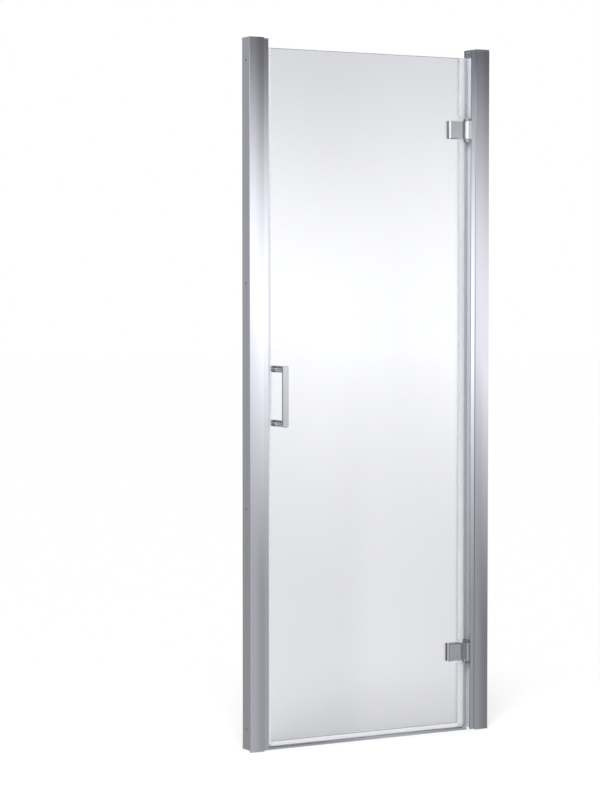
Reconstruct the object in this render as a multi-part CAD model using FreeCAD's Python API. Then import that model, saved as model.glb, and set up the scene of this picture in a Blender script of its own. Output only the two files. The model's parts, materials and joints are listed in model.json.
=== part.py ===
import FreeCAD, Part
import math
import os

# Hinged shower door in its closed position, in millimetres.
# X runs from the strike side to the hinge side, Y into the shower, Z up.
# The origin is under the middle of the threshold, in the middle plane of the glass.

# Overall sizes
overall_height = 1900.0
overall_width = 762.0

# Wall posts: channels fixed to the walls, open towards the door
post_width = 44.0
post_depth = 42.0
post_wall = 2.0
post_bow = 1.5
post_corner_radius = 0.8
post_mouth_radius = 0.5
post_web_lift = 5.5
post_cap_height = 6.0
post_cap_plate = 1.8
post_cap_edge = 0.6
cap_tongue_length = 16.0
cap_tongue_width = 20.0
wall_hole_radius = 2.5
wall_hole_end_distance = 60.0
wall_hole_inner_spacing = 600.0
post_foot_height = 14.0

# Inner profiles that slide in the wall posts
profile_reveal = 14.0
adjust_travel = 19.0
profile_engagement = 15.0
profile_wall = 1.6
profile_cap_plug = 12.0
foot_plate = 1.5
foot_plug_height = 12.0
channel_depth = 12.0
channel_lip = 1.5
channel_foot_height = 6.5

# Clearances
slide_clearance = 0.5
fit_clearance = 0.2
seal_clearance = 0.1
running_clearance = 0.05
moving_gap = 0.3
overcut = 1.0

# Width clamps: three screws in the back of each post
clamp_edge = 7.0
clamp_end_distance = 150.0
clamp_screw_radius = 2.0
clamp_head_radius = 3.8
clamp_head_height = 2.4
clamp_screw_tip = 1.0
clamp_nut_size = 9.0
clamp_nut_thickness = 3.0
clamp_cover_radius = 6.0
clamp_cover_wall = 0.9

# Glass pane
glass_thickness = 8.0
glass_bottom = 12.0
glass_top_drop = 25.0
strike_gap = 7.0
hinge_gap = 14.0
glass_corner = 1.0

# Hinges
lower_hinge_level = 221.0
upper_hinge_drop = 224.0
leaf_width = 42.5
leaf_height = 50.0
leaf_thickness = 7.0
leaf_bevel = 2.5
leaf_setback = 9.5
gasket_thickness = 1.0
gasket_inset = 1.0
barrel_radius = 9.5
barrel_side_gap = 1.5
barrel_setback = 1.0
barrel_edge = 0.6
neck_thickness = 4.5
riser_half_width = 4.7
pin_radius = 4.0
pin_head_radius = 5.6
pin_head_height = 1.4
bush_wall = 1.5
bush_length = 14.0
bush_flange = 0.7
bush_flange_radius = 8.0
ear_thickness = 5.5
bracket_screw_radius = 2.5
bracket_head_radius = 5.0
bracket_screw_spacing = 34.0
bracket_screw_setback = 4.0
nut_plate_thickness = 4.0
nut_plate_width = 20.0
clamp_bolt_radius = 3.0
clamp_bolt_head_radius = 6.0
clamp_bolt_head_depth = 3.0
clamp_bolt_spacing = 26.0
clamp_bolt_bite = 4.5
glass_hole_radius = 6.0
sleeve_wall = 2.6

# Handle
handle_edge_distance = 27.0
handle_level = 949.0
handle_spacing = 145.0
handle_projection = 48.0
grip_width = 18.0
grip_thickness = 6.0
grip_end_margin = 0.5
grip_corner_radius = 5.0
grip_edge = 1.0
standoff_radius = 9.0
standoff_groove_depth = 0.7
standoff_groove_width = 1.4
standoff_groove_offset = 4.0
handle_washer_thickness = 1.0
handle_washer_radius = 8.5
through_stud_radius = 3.0
through_stud_bite = 14.0
knob_length = 15.0
knob_edge = 2.0
knob_bite = 10.0
grip_stud_radius = 2.0
grip_stud_bite = 3.5
grip_stud_root = 9.0

# Seals, magnets and threshold
seal_wall = 1.1
strike_seal_body = 2.6
strike_seal_half_width = 6.0
strike_key_half_width = 5.3
strike_key_depth = 2.6
strike_neck_half_width = 3.0
stop_lip_thickness = 1.2
stop_lip_reach = 8.0
stop_lip_gap = 1.0
door_seal_body = 3.5
door_seal_grip = 7.0
magnet_thickness = 2.0
magnet_half_width = 2.3
hinge_seal_grip = 18.0
hinge_seal_web = 2.0
hinge_fin_thickness = 1.0
hinge_fin_gap = 0.5
seal_hinge_gap = 1.5
drip_seal_grip = 9.0
drip_seal_web = 1.8
drip_bulb_half_width = 2.6
drip_fin_reach = 8.0
drip_fin_thickness = 0.9
infill_wall = 1.5
infill_end_gap = 0.4
infill_barb = 1.1
threshold_height = 7.0
threshold_half_width = 10.0
threshold_edge = 1.5
threshold_fall = 4.0
threshold_pad = 3.0
threshold_gap = 0.8

# Values that follow from the sizes above
half_width = overall_width / 2
half_depth = post_depth / 2
post_top = overall_height - post_cap_height
mouth_x = half_width - post_width
face_x = mouth_x - profile_reveal
profile_width = profile_reveal + adjust_travel + profile_engagement
profile_end_x = face_x + profile_width
profile_half_depth = half_depth - post_wall - slide_clearance
head_room = half_width - post_wall - profile_end_x
profile_cap_thickness = post_cap_height - post_cap_plate - slide_clearance
channel_half_width = profile_half_depth - profile_wall
channel_mouth = channel_half_width - channel_lip
channel_floor_x = face_x + channel_depth
cavity_x = channel_floor_x + profile_wall
cavity_end_x = profile_end_x - profile_wall
wall_hole_outer_spacing = overall_height - 2 * wall_hole_end_distance
clamp_x = mouth_x + clamp_edge
clamp_levels = (clamp_end_distance, overall_height / 2, overall_height - clamp_end_distance)
glass_half = glass_thickness / 2
glass_top = overall_height - glass_top_drop
glass_left = -(face_x - strike_gap)
glass_right = face_x - hinge_gap
hinge_levels = {"lower": lower_hinge_level, "upper": overall_height - upper_hinge_drop}
plate_front_y = -(glass_half + gasket_thickness)
leaf_front_y = plate_front_y - leaf_thickness
leaf_right = glass_right - leaf_setback
leaf_left = leaf_right - leaf_width
clamp_bolt_x = (leaf_left + leaf_right) / 2
axis_x = face_x - barrel_side_gap - barrel_radius
axis_y = -half_depth + barrel_setback
bush_radius = pin_radius + running_clearance + bush_wall
ear_start = leaf_height / 2 + bush_flange + moving_gap
bracket_half_height = ear_start + ear_thickness
handle_x = glass_left + handle_edge_distance
handle_levels = (handle_level - handle_spacing / 2, handle_level + handle_spacing / 2)
washer_front_y = -glass_half - handle_washer_thickness
grip_front_y = -glass_half - handle_projection
grip_back_y = grip_front_y + grip_thickness
seal_outer = glass_half + seal_clearance + seal_wall
drip_bottom = threshold_height + threshold_gap

written = {}


def block(x0, x1, y0, y1, z0, z1):
    """Box between two corners, given in any order."""
    low = FreeCAD.Vector(min(x0, x1), min(y0, y1), min(z0, z1))
    return Part.makeBox(abs(x1 - x0), abs(y1 - y0), abs(z1 - z0), low)


def rod_x(radius, x0, x1, y, z):
    return Part.makeCylinder(radius, abs(x1 - x0), FreeCAD.Vector(min(x0, x1), y, z), FreeCAD.Vector(1, 0, 0))


def rod_y(radius, x, y0, y1, z):
    return Part.makeCylinder(radius, abs(y1 - y0), FreeCAD.Vector(x, min(y0, y1), z), FreeCAD.Vector(0, 1, 0))


def rod_z(radius, x, y, z0, z1):
    return Part.makeCylinder(radius, abs(z1 - z0), FreeCAD.Vector(x, y, min(z0, z1)), FreeCAD.Vector(0, 0, 1))


def bar_z(points, z0, z1):
    """Upright bar of a straight-sided XY section."""
    corners = [FreeCAD.Vector(x, y, z0) for x, y in points]
    face = Part.Face(Part.makePolygon(corners + corners[:1]))
    return face.extrude(FreeCAD.Vector(0, 0, z1 - z0))


def bar_x(points, x0, x1):
    """Level bar of a straight-sided YZ section."""
    corners = [FreeCAD.Vector(x0, y, z) for y, z in points]
    face = Part.Face(Part.makePolygon(corners + corners[:1]))
    return face.extrude(FreeCAD.Vector(x1 - x0, 0, 0))


def flat_edges(shape, axis, value):
    """Edges that lie whole in the plane where one coordinate has this value."""
    found = []
    for edge in shape.Edges:
        box = edge.BoundBox
        low = getattr(box, axis + "Min")
        high = getattr(box, axis + "Max")
        if abs(low - value) < 0.01 and abs(high - value) < 0.01:
            found.append(edge)
    return found


def upright_edges(shape, x, y):
    """Upright edges that stand at this place."""
    found = []
    for edge in flat_edges(shape, "X", x):
        if abs(edge.BoundBox.YMin - y) < 0.01 and abs(edge.BoundBox.YMax - y) < 0.01:
            found.append(edge)
    return found


def keep(name, *solids):
    """Writes one node: a solid, or a group of separate solids."""
    cleaned = [solid.removeSplitter() for solid in solids]
    for shape in cleaned:
        if not shape.isValid() or len(shape.Solids) != 1:
            raise ValueError(name + " is not one valid solid")
    whole = cleaned[0].Solids[0]
    if len(cleaned) > 1:
        whole = Part.Compound([shape.Solids[0] for shape in cleaned])
    whole.exportStep("parts/" + name + ".step")
    written[name] = sum(shape.Volume for shape in cleaned)


def post_outline(side, z0, z1):
    """Full outline of a wall post with its bowed front; side is -1 at the strike, 1 at the hinges."""
    wall = side * half_width
    mouth = side * mouth_x
    front_wall = FreeCAD.Vector(wall, -half_depth, z0)
    front_mouth = FreeCAD.Vector(mouth, -half_depth, z0)
    crown = FreeCAD.Vector((wall + mouth) / 2, -half_depth - post_bow, z0)
    back_wall = FreeCAD.Vector(wall, half_depth, z0)
    back_mouth = FreeCAD.Vector(mouth, half_depth, z0)
    bow = Part.Arc(front_wall, crown, front_mouth).toShape()
    sides = [
        Part.LineSegment(front_mouth, back_mouth).toShape(),
        Part.LineSegment(back_mouth, back_wall).toShape(),
        Part.LineSegment(back_wall, front_wall).toShape(),
    ]
    outline = Part.Face(Part.Wire([bow] + sides)).extrude(FreeCAD.Vector(0, 0, z1 - z0))
    corners = upright_edges(outline, wall, -half_depth) + upright_edges(outline, wall, half_depth)
    outline = outline.makeFillet(post_corner_radius, corners)
    lips = upright_edges(outline, mouth, -half_depth) + upright_edges(outline, mouth, half_depth)
    return outline.makeFillet(post_mouth_radius, lips)


def post_hollow(side, z0, z1):
    """Room inside a wall post, open at the mouth."""
    inner = half_depth - post_wall
    return block(side * (mouth_x - overcut), side * (half_width - post_wall), -inner, inner, z0, z1)


def wall_holes(side):
    middle = overall_height / 2
    levels = []
    for spacing in (wall_hole_outer_spacing, wall_hole_inner_spacing):
        levels += [middle - spacing / 2, middle + spacing / 2]
    inside = side * (half_width - post_wall - overcut)
    outside = side * (half_width + overcut)
    return [rod_x(wall_hole_radius, inside, outside, 0, level) for level in levels]


def make_wall_post(side, name):
    post = post_outline(side, 0, post_top).cut(post_hollow(side, -overcut, post_top + overcut))
    web_gap = block(side * (half_width - post_wall), side * (half_width + overcut), -half_depth + post_wall,
                    half_depth - post_wall, -overcut, post_web_lift)
    post = post.cut(web_gap)
    for hole in wall_holes(side):
        post = post.cut(hole)
    for level in clamp_levels:
        hole_radius = clamp_screw_radius + fit_clearance
        inner = half_depth - post_wall - overcut
        post = post.cut(rod_y(hole_radius, side * clamp_x, inner, half_depth + overcut, level))
    keep(name + "_wall_post", post)


def make_post_cap(side, name):
    cap = post_outline(side, post_top, overall_height)
    cap = cap.makeFillet(post_cap_edge, flat_edges(cap, "Z", overall_height))
    cap = cap.cut(post_hollow(side, post_top - overcut, overall_height - post_cap_plate))
    outer = half_width - post_wall - fit_clearance
    tongue = block(side * outer, side * (outer - post_wall), -cap_tongue_width / 2, cap_tongue_width / 2,
                   post_top - cap_tongue_length, overall_height - post_cap_plate)
    keep(name + "_post_cap", cap.fuse(tongue))


def make_post_foot(side, name):
    """White foot that closes the post under its raised web."""
    inner = half_width - post_wall - head_room + slide_clearance
    half = half_depth - post_wall - fit_clearance
    sill = block(side * half_width, side * inner, -half, half, 0, post_web_lift - fit_clearance)
    outer = half_width - post_wall - fit_clearance
    upstand = block(side * outer, side * inner, -half, half, 0, post_foot_height)
    keep(name + "_post_foot", sill.fuse(upstand))


def make_width_clamps(side, name):
    """Screws through the back of a post, with nuts inside the profile and covers on the heads."""
    x = side * clamp_x
    nut_back = profile_half_depth - profile_wall - moving_gap
    nut_front = nut_back - clamp_nut_thickness
    head_top = half_depth + clamp_head_height
    cover_top = head_top + fit_clearance + clamp_cover_wall
    screws, nuts, covers = [], [], []
    for level in clamp_levels:
        tip = nut_front - clamp_screw_tip
        shank = rod_y(clamp_screw_radius, x, tip, half_depth + clamp_head_height / 2, level)
        head = rod_y(clamp_head_radius, x, half_depth, head_top, level)
        head = head.makeFillet(clamp_head_height / 3, flat_edges(head, "Y", head_top))
        screws.append(head.fuse(shank))
        half = clamp_nut_size / 2
        nut = block(x - half, x + half, nut_front, nut_back, level - half, level + half)
        thread_radius = clamp_screw_radius + running_clearance
        thread = rod_y(thread_radius, x, nut_front - overcut, nut_back + overcut, level)
        nuts.append(nut.cut(thread))
        cover = rod_y(clamp_cover_radius, x, half_depth, cover_top, level)
        cover = cover.makeFillet(clamp_head_height / 2, flat_edges(cover, "Y", cover_top))
        room_radius = clamp_head_radius + fit_clearance
        room = rod_y(room_radius, x, half_depth - overcut, head_top + fit_clearance, level)
        covers.append(cover.cut(room))
    keep(name + "_clamp_screws", *screws)
    keep(name + "_clamp_nuts", *nuts)
    keep(name + "_screw_covers", *covers)


def clamp_slots(side):
    """Level slots in a profile's back wall that let the clamp screws travel."""
    radius = clamp_screw_radius + moving_gap
    y0 = profile_half_depth - profile_wall - overcut
    y1 = profile_half_depth + overcut
    near = side * clamp_x
    far = side * (clamp_x + adjust_travel)
    slots = []
    for level in clamp_levels:
        slots.append(rod_y(radius, near, y0, y1, level))
        slots.append(rod_y(radius, far, y0, y1, level))
        slots.append(block(near, far, y0, y1, level - radius, level + radius))
    return slots


def strike_key(grow, z0, z1):
    """T-shaped key of the strike seal, grown by a clearance to make its pocket."""
    x = -face_x
    back = x - profile_wall - strike_key_depth - grow
    wide = strike_key_half_width + grow
    narrow = strike_neck_half_width + grow
    key = block(back, x - profile_wall + grow, -wide, wide, z0, z1)
    return key.fuse(block(x - profile_wall - grow, x, -narrow, narrow, z0, z1))


def make_strike_profile():
    x = -face_x
    box = block(x, -profile_end_x, -profile_half_depth, profile_half_depth, foot_plate, post_top)
    cavity = block(x - profile_wall, -cavity_end_x, -channel_half_width, channel_half_width,
                   0, overall_height)
    wall = profile_wall + fit_clearance
    shield = block(x, x - profile_wall - strike_key_depth - wall, -strike_key_half_width - wall,
                   strike_key_half_width + wall, foot_plate, post_top)
    profile = box.cut(cavity).fuse(shield).cut(strike_key(fit_clearance, 0, overall_height))
    front_mouth = block(x - overcut, x + overcut, -strike_neck_half_width - fit_clearance,
                        strike_neck_half_width + fit_clearance, 0, overall_height)
    profile = profile.cut(front_mouth)
    for slot in clamp_slots(-1):
        profile = profile.cut(slot)
    keep("strike_profile", profile)


def make_hinge_profile():
    box = block(face_x, profile_end_x, -profile_half_depth, profile_half_depth, foot_plate, post_top)
    cavity = block(cavity_x, cavity_end_x, -channel_half_width, channel_half_width, 0, overall_height)
    channel = block(face_x + profile_wall, channel_floor_x, -channel_half_width, channel_half_width,
                    0, overall_height)
    mouth = block(face_x - overcut, face_x + profile_wall + overcut, -channel_mouth, channel_mouth,
                  0, overall_height)
    profile = box.cut(cavity).cut(channel).cut(mouth)
    for level in hinge_levels.values():
        for screw_level in bracket_screw_levels(level):
            hole_radius = bracket_screw_radius + fit_clearance
            start = channel_floor_x - overcut
            end = cavity_x + overcut
            profile = profile.cut(rod_x(hole_radius, start, end, bracket_screw_setback, screw_level))
    for slot in clamp_slots(1):
        profile = profile.cut(slot)
    keep("hinge_profile", profile)


def plug(x0, x1, half_width_y, z0, z1):
    """Hollow plug that fits in a profile's cavity."""
    x_low = min(x0, x1) + fit_clearance
    x_high = max(x0, x1) - fit_clearance
    half = half_width_y - fit_clearance
    outer = block(x_low, x_high, -half, half, z0, z1)
    inner = block(x_low + profile_wall, x_high - profile_wall, -half + profile_wall, half - profile_wall,
                  z0 - overcut, z1 + overcut)
    return outer.cut(inner)


def strike_cavity_start():
    return -(face_x + profile_wall * 2 + strike_key_depth + fit_clearance)


def make_profile_ends():
    """End caps on top of the two profiles and plastic feet under them."""
    cap_top = post_top + profile_cap_thickness
    plug_low = post_top - profile_cap_plug
    rooms = {"strike": (-1, strike_cavity_start(), -cavity_end_x), "hinge": (1, cavity_x, cavity_end_x)}
    for name, (side, room_start, room_end) in rooms.items():
        plate = block(side * face_x, side * profile_end_x, -profile_half_depth, profile_half_depth,
                      post_top, cap_top)
        cap_plug = plug(room_start, room_end, channel_half_width, plug_low, cap_top)
        keep(name + "_profile_cap", plate.fuse(cap_plug))
        foot = block(side * face_x, side * profile_end_x, -profile_half_depth, profile_half_depth,
                     0, foot_plate)
        foot = foot.fuse(plug(room_start, room_end, channel_half_width, 0, foot_plug_height))
        if name == "hinge":
            half = channel_mouth - fit_clearance
            channel_end = channel_floor_x - fit_clearance
            foot = foot.fuse(block(face_x, channel_end, -half, half, 0, channel_foot_height))
        keep(name + "_profile_foot", foot)


def make_threshold():
    end = face_x - threshold_pad
    section = [
        (-threshold_half_width, 0),
        (-threshold_half_width, threshold_height - threshold_edge),
        (-threshold_half_width + threshold_edge, threshold_height),
        (threshold_half_width / 2, threshold_height),
        (threshold_half_width, threshold_height - threshold_fall),
        (threshold_half_width, 0),
    ]
    keep("threshold_strip", bar_x(section, -end, end))
    keep("threshold_ends", bar_x(section, -face_x, -end), bar_x(section, end, face_x))


def magnet_strip(x_low, z0, z1):
    return block(x_low, x_low + magnet_thickness, -magnet_half_width, magnet_half_width, z0, z1)


def magnet_pocket(x_low, z0, z1):
    half = magnet_half_width + seal_clearance
    return block(x_low - seal_clearance, x_low + magnet_thickness + seal_clearance, -half, half, z0, z1)


def make_strike_seal():
    """Seal keyed in the strike profile, with its magnet and the lip that stops the door."""
    low = threshold_height + threshold_gap
    x = -face_x
    front = x + strike_seal_body
    lip_front = seal_outer + stop_lip_gap
    lip_back = lip_front + stop_lip_thickness
    body = block(x, front, -strike_seal_half_width, lip_back, low, glass_top)
    lip = block(x, front + stop_lip_reach, lip_front, lip_back, low, glass_top)
    seal = body.fuse(lip).fuse(strike_key(0, low, glass_top))
    magnet_x = front - seal_wall / 2 - magnet_thickness
    seal = seal.cut(magnet_pocket(magnet_x, low - overcut, glass_top + overcut))
    keep("strike_seal", seal)
    keep("strike_magnet", magnet_strip(magnet_x, low, glass_top))


def make_infills():
    """Clip-in strips that close the hinge profile's channel round the hinges."""
    lower = hinge_levels["lower"]
    upper = hinge_levels["upper"]
    stop = bracket_half_height + infill_end_gap
    spans = {
        "lower": (channel_foot_height + infill_end_gap, lower - stop),
        "middle": (lower + stop, upper - stop),
        "upper": (upper + stop, glass_top),
    }
    half = channel_mouth - fit_clearance
    barb_start = face_x + profile_wall + fit_clearance
    back = channel_floor_x - fit_clearance
    for name, (low, high) in spans.items():
        strip = block(face_x, face_x + infill_wall, -half, half, low, high)
        for side in (-1, 1):
            leg = block(face_x, back, side * half, side * (half - infill_wall), low, high)
            barb = block(barb_start, barb_start + infill_wall, side * (half - infill_wall),
                         side * (half + infill_barb), low, high)
            strip = strip.fuse(leg).fuse(barb)
        keep("hinge_infill_" + name, strip)


def make_glass():
    pane = block(glass_left, glass_right, -glass_half, glass_half, glass_bottom, glass_top)
    rims = flat_edges(pane, "Y", -glass_half) + flat_edges(pane, "Y", glass_half)
    pane = pane.makeChamfer(glass_corner, rims)
    holes = [(handle_x, level) for level in handle_levels]
    for level in hinge_levels.values():
        holes += [(clamp_bolt_x, bolt_level) for bolt_level in clamp_bolt_levels(level)]
    sleeves = []
    for x, level in holes:
        pane = pane.cut(rod_y(glass_hole_radius, x, -glass_half - overcut, glass_half + overcut, level))
        outer_radius = glass_hole_radius - fit_clearance
        sleeve = rod_y(outer_radius, x, -glass_half, glass_half, level)
        bore = rod_y(outer_radius - sleeve_wall, x, -glass_half - overcut, glass_half + overcut, level)
        sleeves.append(sleeve.cut(bore))
    keep("glass_panel", pane)
    keep("glass_hole_sleeves", *sleeves)


def clamp_bolt_levels(level):
    return (level - clamp_bolt_spacing / 2, level + clamp_bolt_spacing / 2)


def bracket_screw_levels(level):
    return (level - bracket_screw_spacing / 2, level + bracket_screw_spacing / 2)


def bevelled_plate(y_glass, y_outer, level):
    half = leaf_height / 2
    plate = block(leaf_left, leaf_right, y_glass, y_outer, level - half, level + half)
    return plate.makeChamfer(leaf_bevel, flat_edges(plate, "Y", y_outer))


def make_leaf(name, level):
    """Front plate of a hinge, with the neck and the knuckle that turns on the pin."""
    half = leaf_height / 2
    plate = bevelled_plate(plate_front_y, leaf_front_y, level)
    neck = block(leaf_right - leaf_bevel, axis_x + riser_half_width, plate_front_y - neck_thickness,
                 plate_front_y, level - half, level + half)
    riser = block(axis_x - riser_half_width, axis_x + riser_half_width, axis_y, plate_front_y,
                  level - half, level + half)
    barrel = rod_z(barrel_radius, axis_x, axis_y, level - half, level + half)
    ends = flat_edges(barrel, "Z", level - half) + flat_edges(barrel, "Z", level + half)
    barrel = barrel.makeChamfer(barrel_edge, ends)
    leaf = plate.fuse(neck).fuse(riser).fuse(barrel)
    bore_radius = bush_radius + running_clearance
    leaf = leaf.cut(rod_z(bore_radius, axis_x, axis_y, level - half - overcut, level + half + overcut))
    for bolt_level in clamp_bolt_levels(level):
        hole_radius = clamp_bolt_radius + running_clearance
        hole_end = plate_front_y - clamp_bolt_bite - fit_clearance
        leaf = leaf.cut(rod_y(hole_radius, clamp_bolt_x, hole_end, plate_front_y + overcut, bolt_level))
    keep(name + "_hinge_leaf", leaf)


def countersunk_y(x, z, y_head, y_end, radius, head_radius, head_depth):
    """Countersunk screw along Y with its flat head at y_head."""
    step = math.copysign(1, y_end - y_head)
    start = FreeCAD.Vector(x, y_head, z)
    cone = Part.makeCone(head_radius, radius, head_depth, start, FreeCAD.Vector(0, step, 0))
    return cone.fuse(rod_y(radius, x, y_head + step * head_depth / 2, y_end, z))


def make_back_plate(name, level):
    """Back plate of a hinge with its gaskets and the two bolts that clamp the glass."""
    plate_y = glass_half + gasket_thickness
    back_y = plate_y + leaf_thickness
    plate = bevelled_plate(plate_y, back_y, level)
    bolts = []
    for bolt_level in clamp_bolt_levels(level):
        end_y = plate_front_y - clamp_bolt_bite
        bolts.append(countersunk_y(clamp_bolt_x, bolt_level, back_y, end_y, clamp_bolt_radius,
                                   clamp_bolt_head_radius, clamp_bolt_head_depth))
        room = countersunk_y(clamp_bolt_x, bolt_level, back_y + fit_clearance, plate_y - overcut,
                             clamp_bolt_radius + running_clearance, clamp_bolt_head_radius + fit_clearance,
                             clamp_bolt_head_depth + fit_clearance)
        lid_radius = clamp_bolt_head_radius + fit_clearance
        lid = rod_y(lid_radius, clamp_bolt_x, back_y, back_y + overcut, bolt_level)
        plate = plate.cut(room).cut(lid)
    gaskets = []
    half = leaf_height / 2 - gasket_inset
    for y0, y1 in ((plate_front_y, -glass_half), (glass_half, plate_y)):
        gasket = block(leaf_left + gasket_inset, leaf_right - gasket_inset, y0, y1,
                       level - half, level + half)
        for bolt_level in clamp_bolt_levels(level):
            hole = rod_y(glass_hole_radius, clamp_bolt_x, y0 - overcut, y1 + overcut, bolt_level)
            gasket = gasket.cut(hole)
        gaskets.append(gasket)
    keep(name + "_hinge_back_plate", plate)
    keep(name + "_clamp_bolts", *bolts)
    keep(name + "_hinge_gaskets", *gaskets)


def make_bushes(name, level):
    bushes = []
    for end in (-1, 1):
        face = level + end * leaf_height / 2
        sleeve = rod_z(bush_radius, axis_x, axis_y, face - end * bush_length, face)
        flange = rod_z(bush_flange_radius, axis_x, axis_y, face, face + end * bush_flange)
        bore = rod_z(pin_radius + running_clearance, axis_x, axis_y, face - end * (bush_length + overcut),
                     face + end * (bush_flange + overcut))
        bushes.append(sleeve.fuse(flange).cut(bore))
    keep(name + "_hinge_bushes", *bushes)


def bracket_ear(z0, z1):
    """Ear that holds the pin: a round end and an arm back to the profile's channel."""
    slant = barrel_radius * math.sqrt(0.5)
    root = face_x + profile_wall
    inner = channel_mouth - fit_clearance
    arm = [
        (axis_x - slant, axis_y + slant),
        (axis_x + slant, axis_y - slant),
        (face_x, -inner),
        (root, -inner),
        (root, bracket_screw_setback),
        (face_x, bracket_screw_setback),
    ]
    return rod_z(barrel_radius, axis_x, axis_y, z0, z1).fuse(bar_z(arm, z0, z1))


def make_bracket(name, level):
    """Fixed half of a hinge: a block in the profile's channel with two ears."""
    half = channel_mouth - fit_clearance
    low = level - bracket_half_height
    high = level + bracket_half_height
    bracket = block(face_x, channel_floor_x, -half, half, low, high)
    for ear_low in (low, high - ear_thickness):
        bracket = bracket.fuse(bracket_ear(ear_low, ear_low + ear_thickness))
    bore_radius = pin_radius + running_clearance
    bracket = bracket.cut(rod_z(bore_radius, axis_x, axis_y, low - overcut, high + overcut))
    plate_end = cavity_x + nut_plate_thickness
    nut_plate = block(cavity_x, plate_end, bracket_screw_setback - nut_plate_width / 2,
                      bracket_screw_setback + nut_plate_width / 2, low, high)
    screws = []
    for screw_level in bracket_screw_levels(level):
        start = FreeCAD.Vector(face_x, bracket_screw_setback, screw_level)
        head_depth = bracket_head_radius - bracket_screw_radius
        inward = FreeCAD.Vector(1, 0, 0)
        cone = Part.makeCone(bracket_head_radius, bracket_screw_radius, head_depth, start, inward)
        shank_start = face_x + head_depth / 2
        shank = rod_x(bracket_screw_radius, shank_start, plate_end, bracket_screw_setback, screw_level)
        screws.append(cone.fuse(shank))
        wide = Part.makeCone(bracket_head_radius + fit_clearance, bracket_screw_radius,
                             head_depth + fit_clearance, start, inward)
        hole_radius = bracket_screw_radius + running_clearance
        hole = rod_x(hole_radius, face_x - overcut, plate_end + overcut, bracket_screw_setback, screw_level)
        bracket = bracket.cut(wide.fuse(hole))
        nut_plate = nut_plate.cut(hole)
    shaft = rod_z(pin_radius, axis_x, axis_y, low, high)
    head = rod_z(pin_head_radius, axis_x, axis_y, low - pin_head_height, low)
    head = head.makeFillet(pin_head_height / 2, flat_edges(head, "Z", low - pin_head_height))
    keep(name + "_hinge_bracket", bracket)
    keep(name + "_bracket_screws", *screws)
    keep(name + "_bracket_nut_plate", nut_plate)
    keep(name + "_hinge_pin", shaft.fuse(head))


def make_grip():
    low = handle_levels[0] - standoff_radius - grip_end_margin
    high = handle_levels[1] + standoff_radius + grip_end_margin
    left = handle_x - grip_width / 2
    right = handle_x + grip_width / 2
    grip = block(left, right, grip_front_y, grip_back_y, low, high)
    corners = [edge for x in (left, right) for edge in flat_edges(grip, "X", x)
               if edge.BoundBox.YLength > grip_thickness / 2]
    grip = grip.makeFillet(grip_corner_radius, corners)
    rims = flat_edges(grip, "Y", grip_front_y) + flat_edges(grip, "Y", grip_back_y)
    grip = grip.makeFillet(grip_edge, rims)
    for level in handle_levels:
        hole_end = grip_back_y - grip_stud_bite - fit_clearance
        hole_radius = grip_stud_radius + running_clearance
        grip = grip.cut(rod_y(hole_radius, handle_x, hole_end, grip_back_y + overcut, level))
    keep("handle_grip", grip)


def make_standoffs():
    stud_room = through_stud_bite + fit_clearance
    for name, level in zip(("lower", "upper"), handle_levels):
        post = rod_y(standoff_radius, handle_x, grip_back_y, washer_front_y, level)
        groove_end = washer_front_y - standoff_groove_offset
        groove_start = groove_end - standoff_groove_width
        ring = rod_y(standoff_radius + overcut, handle_x, groove_start, groove_end, level)
        post = post.cut(ring.cut(rod_y(standoff_radius - standoff_groove_depth, handle_x, groove_start,
                                       groove_end, level)))
        post = post.cut(rod_y(through_stud_radius + running_clearance, handle_x, washer_front_y - stud_room,
                              washer_front_y + overcut, level))
        post = post.cut(rod_y(grip_stud_radius + running_clearance, handle_x, grip_back_y - overcut,
                              grip_back_y + grip_stud_root + fit_clearance, level))
        keep("handle_" + name + "_standoff", post)


def make_handle_fixings():
    """Studs, washers and inside knobs that hold the handle on the glass."""
    knob_y = -washer_front_y
    knob_end = knob_y + knob_length
    through_studs, grip_studs, washers, knobs = [], [], [], []
    for level in handle_levels:
        through_studs.append(rod_y(through_stud_radius, handle_x, washer_front_y - through_stud_bite,
                                   knob_y + knob_bite, level))
        grip_studs.append(rod_y(grip_stud_radius, handle_x, grip_back_y - grip_stud_bite,
                                grip_back_y + grip_stud_root, level))
        for y0, y1 in ((washer_front_y, -glass_half), (glass_half, knob_y)):
            washer = rod_y(handle_washer_radius, handle_x, y0, y1, level)
            bore = rod_y(through_stud_radius + fit_clearance, handle_x, y0 - overcut, y1 + overcut, level)
            washers.append(washer.cut(bore))
        knob = rod_y(standoff_radius, handle_x, knob_y, knob_end, level)
        knob = knob.makeFillet(knob_edge, flat_edges(knob, "Y", knob_end))
        knob = knob.cut(rod_y(through_stud_radius + running_clearance, handle_x, knob_y - overcut,
                              knob_y + knob_bite + fit_clearance, level))
        knobs.append(knob)
    keep("handle_through_studs", *through_studs)
    keep("handle_grip_studs", *grip_studs)
    keep("handle_washers", *washers)
    keep("handle_inner_knobs", *knobs)


def edge_clip(x_edge, x_grip, x_body, z0, z1):
    """Seal that grips an upright glass edge: two legs joined by a body past the edge."""
    clip = block(x_edge, x_body, -seal_outer, seal_outer, z0, z1)
    for side in (-1, 1):
        inner = side * (glass_half + seal_clearance)
        clip = clip.fuse(block(x_grip, x_body, inner, side * seal_outer, z0, z1))
    return clip


def make_door_seal():
    x_edge = glass_left - seal_clearance
    x_body = glass_left - door_seal_body
    seal = edge_clip(x_edge, glass_left + door_seal_grip, x_body, glass_bottom, glass_top)
    magnet_x = x_body + (door_seal_body - seal_clearance - magnet_thickness) / 2
    seal = seal.cut(magnet_pocket(magnet_x, glass_bottom - overcut, glass_top + overcut))
    keep("door_edge_seal", seal)
    keep("door_magnet", magnet_strip(magnet_x, glass_bottom, glass_top))


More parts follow.
